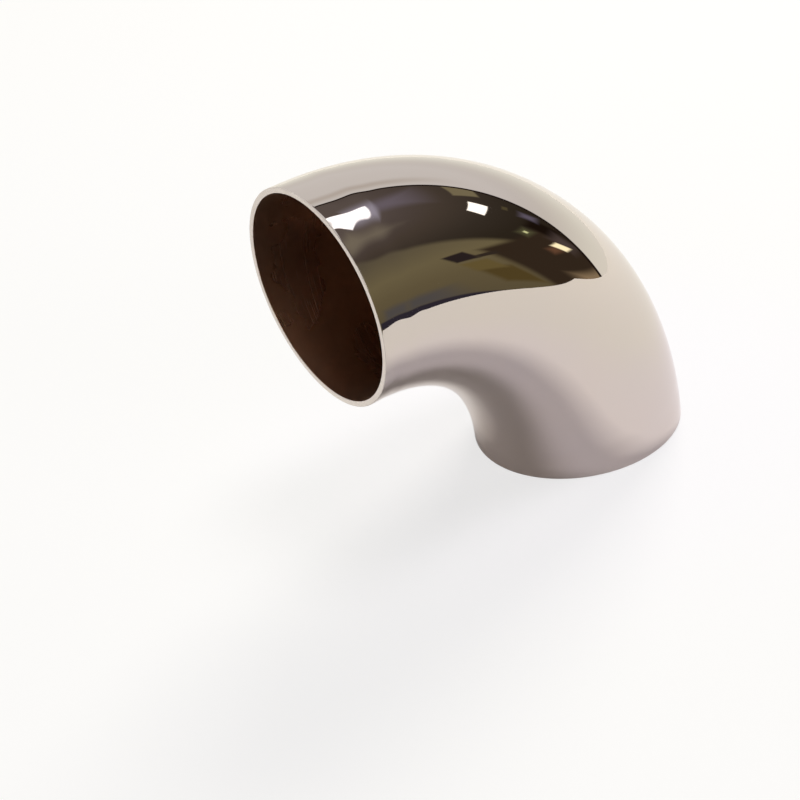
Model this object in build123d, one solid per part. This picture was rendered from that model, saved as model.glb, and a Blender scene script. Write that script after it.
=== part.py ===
from build123d import *
import os

# A ninety degree weld elbow: one thin-walled stainless steel tube, bent and polished to a mirror.
# It stands on its lower end. The origin is the centre of the lower end face, on the surface it
# stands on. +Z runs up the lower leg, and the tube turns towards -X, where the upper end opens.

# Driving dimensions, in millimetres
tube_diameter = 76.1    # outside
wall = 2.0
centre_to_end = 95.0    # from each end face to the axis of the other end
sized_end = 3.0         # each end is pressed true over this length, so it is straight and round there
deburr = 0.3            # small bevel that takes the sharp edge off each rim, outside and inside

outer_radius = tube_diameter / 2
bore_radius = outer_radius - wall
bend_radius = centre_to_end - sized_end


def tube_axis():
    """The middle line of the tube: up the lower end, round a quarter circle, out of the upper end."""
    lower = Line((0, 0), (0, sized_end))
    bend = JernArc(lower @ 1, lower % 1, bend_radius, 90)
    upper = Line(bend @ 1, bend @ 1 + (bend % 1) * sized_end)
    return Plane.XZ * Wire([lower, bend, upper])


def tube_section():
    """The ring that the tube is everywhere, square to its middle line."""
    return Plane.XY * (Circle(outer_radius) - Circle(bore_radius))


def rims(tube):
    """The four circles that bound the two end faces, outside and inside."""
    lower_end = tube.faces().sort_by(Axis.Z)[0]
    upper_end = tube.faces().sort_by(Axis.X)[0]
    return lower_end.edges() + upper_end.edges()


def elbow():
    """The finished elbow: the bent tube, cut square at both ends and deburred."""
    tube = sweep(tube_section(), path=tube_axis())
    tube = chamfer(rims(tube), deburr)
    tube.label = "elbow"
    return tube


os.makedirs("parts", exist_ok=True)
export_step(elbow(), "parts/elbow.step")
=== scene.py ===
import math

import bmesh
import bpy
from mathutils import Matrix, Quaternion, Vector


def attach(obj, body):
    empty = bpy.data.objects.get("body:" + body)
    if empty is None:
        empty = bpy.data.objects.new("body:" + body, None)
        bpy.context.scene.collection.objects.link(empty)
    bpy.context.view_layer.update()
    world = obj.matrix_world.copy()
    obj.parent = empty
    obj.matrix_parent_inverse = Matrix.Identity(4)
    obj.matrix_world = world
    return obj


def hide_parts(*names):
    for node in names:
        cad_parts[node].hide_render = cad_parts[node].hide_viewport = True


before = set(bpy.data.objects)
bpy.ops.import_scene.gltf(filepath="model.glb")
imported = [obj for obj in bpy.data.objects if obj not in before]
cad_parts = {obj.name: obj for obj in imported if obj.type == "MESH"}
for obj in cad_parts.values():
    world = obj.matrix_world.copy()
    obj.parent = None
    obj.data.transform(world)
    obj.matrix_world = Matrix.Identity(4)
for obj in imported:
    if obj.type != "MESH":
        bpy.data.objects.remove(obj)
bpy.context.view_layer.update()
scene = bpy.context.scene
scene.view_settings.view_transform = "Standard"

# The elbow's metal: one stainless steel tube, 76.1 mm across with a 2 mm wall. It is bent through
# a quarter circle, pressed true and round over the last 3 mm of each end, cut square and deburred.
# The mesh is laid the same way: a straight end, the bend, a straight end, once for each side of
# the wall, and then the two cut faces that join them.
tube_radius = 0.03805
wall = 0.002
bend_radius = 0.092
sized_end = 0.003
deburr = 0.0003
bend_centre = Vector((-bend_radius, 0, sized_end))
flats_round = 192
steps_in_bend = 96
rows_in_end = (0.0005, 0.0007, 0.0018)
OUTSIDE, BORE, CUT = 0, 1, 2


def pull(mesh, edges, step):
    """Draw a loop of edges out by one step, leaving a band of faces behind it."""
    made = bmesh.ops.extrude_edge_only(mesh, edges=edges)["geom"]
    points = [part for part in made if isinstance(part, bmesh.types.BMVert)]
    bmesh.ops.translate(mesh, verts=points, vec=step)
    return [part for part in made if isinstance(part, bmesh.types.BMEdge)]


def lay_skin(mesh, radius, finish):
    """One side of the wall, from the lower rim round the bend to the upper rim. Gives both rims."""
    before = set(mesh.faces)
    bmesh.ops.create_circle(mesh, segments=flats_round, radius=radius)
    lower_rim = [edge for edge in mesh.edges if edge.is_wire]
    front = lower_rim
    for row in rows_in_end:
        front = pull(mesh, front, (0, 0, row))
    turned = bmesh.ops.spin(
        mesh, geom=front, cent=bend_centre, axis=(0, -1, 0), dvec=(0, 0, 0), angle=math.pi / 2,
        space=Matrix(), steps=steps_in_bend, use_merge=False, use_normal_flip=False,
        use_duplicate=False,
    )
    front = [part for part in turned["geom_last"] if isinstance(part, bmesh.types.BMEdge)]
    for row in reversed(rows_in_end):
        front = pull(mesh, front, (-row, 0, 0))
    for face in set(mesh.faces) - before:
        face.material_index = finish
    return lower_rim, front


def before_bending(point):
    """Where a point of the elbow lay while the tube was straight: across, across, along."""
    out = point - bend_centre
    if out.z < 0:
        return Vector((point.x, point.y, point.z))
    if out.x < 0:
        turned = math.pi / 2
        return Vector((out.z - bend_radius, point.y, sized_end + bend_radius * turned - out.x))
    turned = math.atan2(out.z, out.x)
    return Vector((math.hypot(out.x, out.z) - bend_radius, point.y, sized_end + bend_radius * turned))


def cut_end(mesh, rim, middle):
    """Close the wall at one end: the outer rim is drawn in until it meets the rim of the bore."""
    inner = pull(mesh, rim, (0, 0, 0))
    points = {point for edge in inner for point in edge.verts}
    narrow = (tube_radius - wall) / tube_radius
    bmesh.ops.scale(mesh, verts=list(points), vec=(narrow,) * 3, space=Matrix.Translation(-middle))


tube = bmesh.new()
lower_rim, upper_rim = lay_skin(tube, tube_radius, OUTSIDE)
lay_skin(tube, tube_radius - wall, BORE)
cut_end(tube, lower_rim, Vector((0, 0, 0)))
cut_end(tube, upper_rim, Vector((-bend_radius - sized_end, 0, bend_radius + sized_end)))
bmesh.ops.remove_doubles(tube, verts=tube.verts, dist=1e-5)
bmesh.ops.recalc_face_normals(tube, faces=tube.faces)
bmesh.ops.bevel(
    tube, geom=[edge for edge in tube.edges if edge.calc_face_angle() > math.radians(60)],
    offset=deburr, offset_type="OFFSET", affect="EDGES", segments=4, profile=0.5, material=-1,
)
cut_faces = [
    face for face in tube.faces
    if face.calc_center_median().z < 1e-6 or face.calc_center_median().x < -0.095 + 1e-6
]
bmesh.ops.inset_region(tube, faces=cut_faces, thickness=deburr / 2, use_even_offset=True)
unbent = tube.verts.layers.float_vector.new("unbent")
for point in tube.verts:
    point[unbent] = before_bending(point.co)
for face in tube.faces:
    face.smooth = True
    middle = before_bending(face.calc_center_median())
    from_axis = math.hypot(middle.x, middle.y)
    if tube_radius - wall + 3e-5 < from_axis < tube_radius - 3e-5:
        face.material_index = CUT
print("open edges", sum(1 for e in tube.edges if not e.is_manifold), "faces", len(tube.faces))
elbow_mesh = bpy.data.meshes.new("polished_elbow")
tube.to_mesh(elbow_mesh)
tube.free()
elbow = bpy.data.objects.new("polished_elbow", elbow_mesh)
scene.collection.objects.link(elbow)


def place(nodes, kind, inputs=None, **settings):
    """Put one node in a tree, with its settings and the values of its sockets."""
    made = nodes.new(kind)
    for name, value in settings.items():
        setattr(made, name, value)
    for name, value in (inputs or {}).items():
        made.inputs[name].default_value = value
    return made


def new_material(name):
    """A material with one Principled shader, and the tree that it stands in."""
    material = bpy.data.materials.new(name)
    material.use_nodes = True
    return material, material.node_tree, material.node_tree.nodes["Principled BSDF"]


def lines_group():
    """Fine marks left by tools. Scale stretches them: a mark runs in the direction scaled least."""
    group = bpy.data.node_groups.new("tool_marks", "ShaderNodeTree")
    for name, kind in (("Position", "Vector"), ("Scale", "Vector"), ("Share", "Float")):
        group.interface.new_socket(name, in_out="INPUT", socket_type="NodeSocket" + kind)
    for name in ("Marks", "Height"):
        group.interface.new_socket(name, in_out="OUTPUT", socket_type="NodeSocketFloat")
    nodes, join = group.nodes, group.links.new
    given, result = place(nodes, "NodeGroupInput"), place(nodes, "NodeGroupOutput")
    stretched = place(nodes, "ShaderNodeVectorMath", operation="MULTIPLY")
    join(given.outputs["Position"], stretched.inputs[0])
    join(given.outputs["Scale"], stretched.inputs[1])
    grain = place(nodes, "ShaderNodeTexNoise", {"Scale": 1, "Detail": 3, "Roughness": 0.6})
    join(stretched.outputs[0], grain.inputs["Vector"])
    least = place(nodes, "ShaderNodeMath", {0: 0.75}, operation="SUBTRACT")
    join(given.outputs["Share"], least.inputs[1])
    only = place(nodes, "ShaderNodeMapRange", {"From Max": 0.8}, interpolation_type="SMOOTHSTEP")
    join(grain.outputs["Fac"], only.inputs["Value"])
    join(least.outputs[0], only.inputs["From Min"])
    join(only.outputs[0], result.inputs["Marks"])
    join(grain.outputs["Fac"], result.inputs["Height"])
    return group


tool_marks = lines_group()


def add_marks(tree, position, scale, share):
    """One set of tool marks in a material."""
    made = place(tree.nodes, "ShaderNodeGroup", node_tree=tool_marks)
    made.inputs["Scale"].default_value = scale
    made.inputs["Share"].default_value = share
    tree.links.new(position, made.inputs["Position"])
    return made


def vary(tree, value, low, high, start=0.0, end=1.0):
    """Turn a mask into a value between low and high."""
    sockets = {"From Min": start, "From Max": end, "To Min": low, "To Max": high}
    made = place(tree.nodes, "ShaderNodeMapRange", sockets, interpolation_type="SMOOTHSTEP")
    tree.links.new(value, made.inputs["Value"])
    return made.outputs[0]


def tint(tree, mask, first, second):
    """Blend two colours by a mask."""
    made = place(tree.nodes, "ShaderNodeMix", data_type="RGBA")
    made.inputs[6].default_value = (*first, 1)
    made.inputs[7].default_value = (*second, 1)
    tree.links.new(mask, made.inputs["Factor"])
    return made.outputs[2]


def total(tree, first, second, operation="ADD"):
    """Combine two values."""
    made = place(tree.nodes, "ShaderNodeMath", operation=operation)
    for socket, value in zip(made.inputs, (first, second)):
        if isinstance(value, (int, float)):
            socket.default_value = value
        else:
            tree.links.new(value, socket)
    return made.outputs[0]


def relief(tree, shader, layers):
    """Stack heights on the surface, each with its depth in metres, the coarsest first."""
    normal = None
    for height, depth in layers:
        made = place(tree.nodes, "ShaderNodeBump", {"Strength": 1.0, "Distance": depth})
        tree.links.new(height, made.inputs["Height"])
        if normal:
            tree.links.new(normal, made.inputs["Normal"])
        normal = made.outputs["Normal"]
    tree.links.new(normal, shader.inputs["Normal"])


def unbent_position(tree):
    """The place on the tube before it was bent, so that marks follow the bend."""
    return place(tree.nodes, "ShaderNodeAttribute", attribute_name="unbent").outputs["Vector"]


def cloud(tree, position, scale, detail=2.0):
    """Soft unevenness, in patches of about 1 / scale metres."""
    made = place(tree.nodes, "ShaderNodeTexNoise", {"Scale": scale, "Detail": detail})
    tree.links.new(position, made.inputs["Vector"])
    return made.outputs["Fac"]


mirror_polish, tree, shader = new_material("mirror_polish")
shader.inputs["Metallic"].default_value = 1
on_tube = unbent_position(tree)
haze = cloud(tree, on_tube, 24, 3)
buffing = add_marks(tree, on_tube, (160, 160, 1800), 0.12)
hairlines = add_marks(tree, on_tube, (900, 900, 40), 0.06)
tree.links.new(tint(tree, haze, (0.676, 0.610, 0.548), (0.642, 0.592, 0.570)), shader.inputs["Base Color"])
film = vary(tree, haze, 0.010, 0.040, 0.4, 0.75)
marks = total(tree, buffing.outputs["Marks"], hairlines.outputs["Marks"])
roughness = total(tree, film, total(tree, marks, 0.05, "MULTIPLY"))
tree.links.new(roughness, shader.inputs["Roughness"])
length_of_tube = 2 * sized_end + bend_radius * math.pi / 2
split = place(tree.nodes, "ShaderNodeSeparateXYZ")
tree.links.new(on_tube, split.inputs[0])
from_upper = total(tree, length_of_tube, split.outputs["Z"], "SUBTRACT")
from_end = total(tree, split.outputs["Z"], from_upper, "MINIMUM")
swing = total(tree, total(tree, from_end, 0.0005, "SUBTRACT"), 2 * math.pi / 0.011, "MULTIPLY")
ripple = total(tree, total(tree, swing, 0, "SINE"), vary(tree, from_end, 1, 0, 0.009, 0.018), "MULTIPLY")
relief(tree, shader, (
    (ripple, 5.0e-5),
    (cloud(tree, on_tube, 38, 0), 3.0e-5),
    (cloud(tree, on_tube, 170, 1), 1.8e-6),
    (buffing.outputs["Height"], 1.0e-7),
))

drawn_bore, tree, shader = new_material("drawn_bore")
shader.inputs["Metallic"].default_value = 1
on_tube = unbent_position(tree)
# Patches that roughen and dent the bore. They also mottle the painted glow in its colour.
unevenness_and_glow = cloud(tree, on_tube, 45, 4)
turned = add_marks(tree, on_tube, (25, 25, 1500), 0.16)
scratched = add_marks(tree, on_tube, (45, 45, 900), 0.08)
# Painted glow on the steel: the bore's colour is a warm red-brown, mottled lighter and darker, for the light that
# comes in at the open end.
tree.links.new(tint(tree, unevenness_and_glow, (0.80, 0.56, 0.42), (0.54, 0.37, 0.27)), shader.inputs["Base Color"])
marks = total(tree, turned.outputs["Marks"], scratched.outputs["Marks"])
roughness = total(tree, vary(tree, unevenness_and_glow, 0.22, 0.36), total(tree, marks, 0.18, "MULTIPLY"))
tree.links.new(roughness, shader.inputs["Roughness"])
relief(tree, shader, (
    (unevenness_and_glow, 2.0e-5),
    (turned.outputs["Height"], 3.0e-6),
    (scratched.outputs["Marks"], 5.0e-6),
))

cut_face, tree, shader = new_material("cut_face")
shader.inputs["Metallic"].default_value = 1
on_piece = place(tree.nodes, "ShaderNodeTexCoord").outputs["Object"]
ground = add_marks(tree, on_piece, (260, 5200, 260), 0.2)
patches = cloud(tree, on_piece, 90, 2)
tree.links.new(tint(tree, patches, (0.74, 0.69, 0.66), (0.66, 0.60, 0.57)), shader.inputs["Base Color"])
roughness = total(tree, vary(tree, patches, 0.22, 0.34), total(tree, ground.outputs["Marks"], 0.12, "MULTIPLY"))
tree.links.new(roughness, shader.inputs["Roughness"])
relief(tree, shader, ((ground.outputs["Height"], 1.5e-6),))

for finish in (mirror_polish, drawn_bore, cut_face):
    elbow_mesh.materials.append(finish)
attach(elbow, "root")
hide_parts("elbow")

# The table that the elbow stands on: a sheet of white board. Its near edge runs 250 mm in front of
# the elbow and its right edge 530 mm beside it, where the steel shows them. To the lens it is
# white, and it keeps a soft shadow.
board_left, board_right, board_back = -1.4, 0.532, 2.2
board_turn = math.radians(-11.5)
board_front = -0.2415
board = bmesh.new()
bmesh.ops.create_grid(board, x_segments=1, y_segments=1, size=0.5)
bmesh.ops.scale(board, verts=board.verts, vec=(board_right - board_left, board_back, 1))
bmesh.ops.translate(board, verts=board.verts, vec=((board_left + board_right) / 2, board_back / 2, 0))
bmesh.ops.rotate(board, verts=board.verts, cent=(0, 0, 0), matrix=Matrix.Rotation(board_turn, 3, "Z"))
bmesh.ops.translate(board, verts=board.verts, vec=(0, board_front, 0))
board_mesh = bpy.data.meshes.new("white_board")
board.to_mesh(board_mesh)
board.free()
floor = bpy.data.objects.new("white_board", board_mesh)
scene.collection.objects.link(floor)
paper, tree, shader = new_material("white_board")
nodes, join = tree.nodes, tree.links.new
on_piece = place(nodes, "ShaderNodeTexCoord").outputs["Object"]
from_elbow = place(nodes, "ShaderNodeVectorMath", operation="LENGTH")
join(on_piece, from_elbow.inputs[0])
# Painted bounce light: the board is lavender within 50 mm of the elbow and turns warm white by 150 mm.
past_bounce = vary(tree, from_elbow.outputs["Value"], 0, 1, 0.05, 0.15)
painted_bounce_tint = tint(tree, past_bounce, (0.95, 0.925, 0.955), (0.95, 0.945, 0.90))
# Painted shade: from 0.3 m to 0.9 m away from the elbow, the board turns darker and warmer.
far_away = vary(tree, from_elbow.outputs["Value"], 0, 1, 0.3, 0.9)
painted_far_shade = tint(tree, far_away, (0, 0, 0), (0.91, 0.895, 0.83))
join(painted_bounce_tint, painted_far_shade.node.inputs[6])
join(painted_far_shade, shader.inputs["Base Color"])
shader.inputs["Roughness"].default_value = 0.9
shader.inputs["Specular IOR Level"].default_value = 0.0
glow = place(nodes, "ShaderNodeEmission", {"Color": (1, 1, 1, 1), "Strength": 1.0})
seen = place(nodes, "ShaderNodeLightPath")
mixed = place(nodes, "ShaderNodeMixShader")
join(total(tree, seen.outputs["Is Camera Ray"], 0.7, "MULTIPLY"), mixed.inputs["Fac"])
join(shader.outputs[0], mixed.inputs[1])
join(glow.outputs[0], mixed.inputs[2])
join(mixed.outputs[0], nodes["Material Output"].inputs["Surface"])
board_mesh.materials.append(paper)

# The room round the table, which the steel mirrors: a white backdrop behind, a pale ceiling, and
# dim walls with windows. The lens sees plain white in its place. Directions are in degrees:
# azimuth from +X towards +Y, and height above the table.
room = bpy.data.worlds.new("room")
scene.world = room
room.use_nodes = True
tree = room.node_tree
nodes, join = tree.nodes, tree.links.new
nodes.clear()
toward = place(nodes, "ShaderNodeTexCoord").outputs["Generated"]
along = place(nodes, "ShaderNodeSeparateXYZ")
join(toward, along.inputs[0])
turn = place(nodes, "ShaderNodeMath", operation="ARCTAN2")
join(along.outputs["Y"], turn.inputs[0])
join(along.outputs["X"], turn.inputs[1])
azimuth = total(tree, turn.outputs[0], 180 / math.pi, "MULTIPLY")
rise = place(nodes, "ShaderNodeMath", operation="ARCSINE")
join(along.outputs["Z"], rise.inputs[0])
height = total(tree, rise.outputs[0], 180 / math.pi, "MULTIPLY")


def facing(direction, low, high):
    """A mask that goes from 0 to 1 as the view turns towards a direction."""
    lean = place(nodes, "ShaderNodeVectorMath", {1: direction}, operation="DOT_PRODUCT")
    join(toward, lean.inputs[0])
    return vary(tree, lean.outputs["Value"], 0, 1, low, high)


def by_height(stops):
    """A colour for each height, blended in between."""
    ramp = place(nodes, "ShaderNodeValToRGB")
    join(vary_height, ramp.inputs["Fac"])
    points = ramp.color_ramp.elements
    while len(points) < len(stops):
        points.new(0.5)
    for point, (degrees, colour) in zip(points, stops):
        point.position = (degrees + 30) / 120
        point.color = (*colour, 1)
    return ramp.outputs["Color"]


def hang(below, colour, at, size, soft=0.15, lean=0.0):
    """Put one patch of colour in the room, on top of what is there: where, how wide and high."""
    offset = total(tree, height, at[1], "SUBTRACT")
    shift = total(tree, total(tree, azimuth, at[0], "SUBTRACT"), total(tree, offset, lean, "MULTIPLY"), "SUBTRACT")
    across = total(tree, total(tree, shift, 2 / size[0], "MULTIPLY"), 0, "ABSOLUTE")
    up = total(tree, total(tree, offset, 2 / size[1], "MULTIPLY"), 0, "ABSOLUTE")
    mask = vary(tree, total(tree, across, up, "MAXIMUM"), 1, 0, 1 - soft, 1 + soft)
    made = place(nodes, "ShaderNodeMix", data_type="RGBA")
    made.inputs[7].default_value = (*colour, 1)
    join(mask, made.inputs["Factor"])
    join(below, made.inputs[6])
    return made.outputs[2]


scaled = place(nodes, "ShaderNodeMapRange", {"From Min": -30, "From Max": 90})
join(height, scaled.inputs["Value"])
vary_height = scaled.outputs[0]
near_wall = by_height((
    (-30, (0.12, 0.10, 0.06)), (0, (0.17, 0.14, 0.075)), (14, (0.205, 0.173, 0.093)),
    (36, (0.13, 0.11, 0.075)), (56, (0.22, 0.19, 0.15)),
))
far_wall = by_height((
    (-30, (0.05, 0.035, 0.02)), (4, (0.03, 0.02, 0.013)), (16, (0.035, 0.027, 0.018)),
    (26, (0.052, 0.041, 0.031)), (38, (0.085, 0.066, 0.052)), (48, (0.110, 0.088, 0.080)),
    (56, (0.140, 0.115, 0.105)),
))
walls = place(nodes, "ShaderNodeMix", data_type="RGBA")
join(facing((0.25, 0.718, 0.649), -0.03, 0.05), walls.inputs["Factor"])
join(near_wall, walls.inputs[6])
join(far_wall, walls.inputs[7])
view = walls.outputs[2]
view = hang(view, (0.045, 0.030, 0.019), (-25.5, 0), (30, 24), 0.12)
view = hang(view, (0.108, 0.102, 0.100), (-60.5, -13), (8, 9), 0.75)
view = hang(view, (0.035, 0.030, 0.045), (-60, -20.0), (18, 6.0), 0.25)
view = hang(view, (0.112, 0.080, 0.027), (-45.5, -5.5), (7, 10), 0.3)
view = hang(view, (0.175, 0.134, 0.050), (-46.5, 2.0), (6, 7), 0.3)
view = hang(view, (0.030, 0.022, 0.022), (-46.6, 10.4), (5.4, 6.4), 0.2)
view = hang(view, (0.045, 0.033, 0.025), (-41.3, 8.2), (6, 2), 0.4)
view = hang(view, (0.34, 0.25, 0.15), (-19, -7.8), (16, 4.6), 0.7)
view = hang(view, (0.014, 0.008, 0.005), (-9, 10.5), (8, 8), 0.4)
view = hang(view, (0.10, 0.075, 0.07), (-11, 4), (6, 6), 0.9)
view = hang(view, (0.18, 0.09, 0.05), (-20.5, 3.6), (5, 2.4), 0.85)
view = hang(view, (1.6, 1.45, 0.95), (-15.5, 3.6), (4.5, 3.6), 0.3, -0.8)
view = hang(view, (0.12, 0.12, 0.06), (-18, 12.8), (5, 3), 0.9)
view = hang(view, (0.9, 0.95, 0.5), (-18, 12.8), (1.5, 1.2), 0.5)
view = hang(view, (0.16, 0.14, 0.20), (-4, 14.5), (4, 4), 0.8)
view = hang(view, (0.11, 0.09, 0.045), (-2.5, 20.6), (3, 1.5), 0.4)
view = hang(view, (0.25, 0.215, 0.125), (11, 29.8), (13, 6.6), 0.15)
view = hang(view, (2.2, 2.15, 2.0), (-8, 27.6), (9.5, 5), 0.1, 0.5)
view = hang(view, (0.24, 0.21, 0.16), (-45, 53), (26, 12), 0.8)
view = hang(view, (0.190, 0.165, 0.205), (3, 52), (15, 17), 0.95, -0.4)
view = hang(view, (0.42, 0.40, 0.50), (-3, 56.5), (28, 5), 0.8)
view = hang(view, (2.3, 2.3, 2.4), (-4, 62.5), (32, 10), 0.10, 0.8)
for azimuth_of_window in (-150, -105, 105, 150):
    view = hang(view, (1.8, 1.8, 1.75), (azimuth_of_window, 28), (16, 24), 0.06)
ceiling = place(nodes, "ShaderNodeMix", data_type="RGBA")
ceiling.inputs[7].default_value = (0.9, 0.9, 0.9, 1)
join(vary(tree, height, 0, 1, 66, 69), ceiling.inputs["Factor"])
join(view, ceiling.inputs[6])
paper_white = by_height((
    (-30, (1.0, 0.97, 0.89)), (-8, (0.98, 0.955, 0.875)), (-3, (0.94, 0.93, 0.84)), (3, (0.86, 0.84, 0.77)), (9, (0.785, 0.755, 0.71)),
    (14, (0.775, 0.745, 0.72)), (20, (0.81, 0.785, 0.77)), (60, (0.80, 0.78, 0.765)),
))
leaning = (-0.141, 0.793, -0.593)
shadow = total(tree, facing(leaning, -0.22, -0.12), facing(leaning, -0.02, -0.12), "MULTIPLY")
shadow = total(tree, total(tree, shadow, vary(tree, height, 0, 1, 22, 42), "MULTIPLY"), 0.5, "MULTIPLY")
shaded = place(nodes, "ShaderNodeMix", data_type="RGBA")
shaded.inputs[7].default_value = (0.50, 0.43, 0.36, 1)
join(shadow, shaded.inputs["Factor"])
join(paper_white, shaded.inputs[6])
# Painted shade: a thin near-black line just outside the backdrop's edge, for the shade behind it.
backdrop_edge_shade = place(nodes, "ShaderNodeMix", data_type="RGBA")
backdrop_edge_shade.inputs[7].default_value = (0.016, 0.009, 0.006, 1)
outline = total(tree, facing(leaning, -0.264, -0.252), facing(leaning, -0.228, -0.236), "MULTIPLY")
join(outline, backdrop_edge_shade.inputs["Factor"])
join(ceiling.outputs[2], backdrop_edge_shade.inputs[6])
backdrop = place(nodes, "ShaderNodeMix", data_type="RGBA")
join(facing(leaning, -0.236, -0.228), backdrop.inputs["Factor"])
join(backdrop_edge_shade.outputs[2], backdrop.inputs[6])
join(shaded.outputs[2], backdrop.inputs[7])
seen = place(nodes, "ShaderNodeLightPath")
room_light = place(nodes, "ShaderNodeBackground")
dimmed = total(tree, seen.outputs["Is Diffuse Ray"], 0.7, "MULTIPLY")
join(total(tree, 1, dimmed, "SUBTRACT"), room_light.inputs["Strength"])
join(backdrop.outputs[2], room_light.inputs["Color"])
white = place(nodes, "ShaderNodeBackground", {"Color": (1, 1, 1, 1), "Strength": 1.0})
mixed = place(nodes, "ShaderNodeMixShader")
join(seen.outputs["Is Camera Ray"], mixed.inputs["Fac"])
join(room_light.outputs[0], mixed.inputs[1])
join(white.outputs[0], mixed.inputs[2])
join(mixed.outputs[0], place(nodes, "ShaderNodeOutputWorld").inputs["Surface"])

# Three soft boxes light the table evenly. They hang where the steel doesn't show them.
for name, spot, size, power, colour in (
    ("soft_box_behind", (2.13, 1.49, 2.18), 1.6, 84, (1.0, 0.98, 0.90)),
    ("soft_box_above", (0.5, -0.6, 2.9), 1.0, 33, (0.98, 0.94, 1.0)),
    ("soft_box_front", (0.6, -2.9, 1.1), 1.2, 12, (0.92, 0.90, 1.0)),
):
    lamp = bpy.data.lights.new(name, "AREA")
    lamp.shape = "SQUARE"
    lamp.size = size
    lamp.energy = power
    lamp.color = colour
    hung = bpy.data.objects.new(name, lamp)
    hung.location = spot
    hung.rotation_mode = "QUATERNION"
    hung.rotation_quaternion = Vector(spot).to_track_quat("Z", "Y")
    hung.visible_glossy = False
    scene.collection.objects.link(hung)

# The camera stands where the photograph was taken from, to the left and above.
lens = bpy.data.cameras.new("camera")
lens.sensor_width = 36
lens.lens = 80.3
camera = bpy.data.objects.new("camera", lens)
camera.location = (-0.3259, -0.4486, 0.3600)
camera.rotation_mode = "QUATERNION"
camera.rotation_quaternion = Quaternion((0.817153, 0.482992, -0.076925, -0.305060))
scene.collection.objects.link(camera)
scene.camera = camera
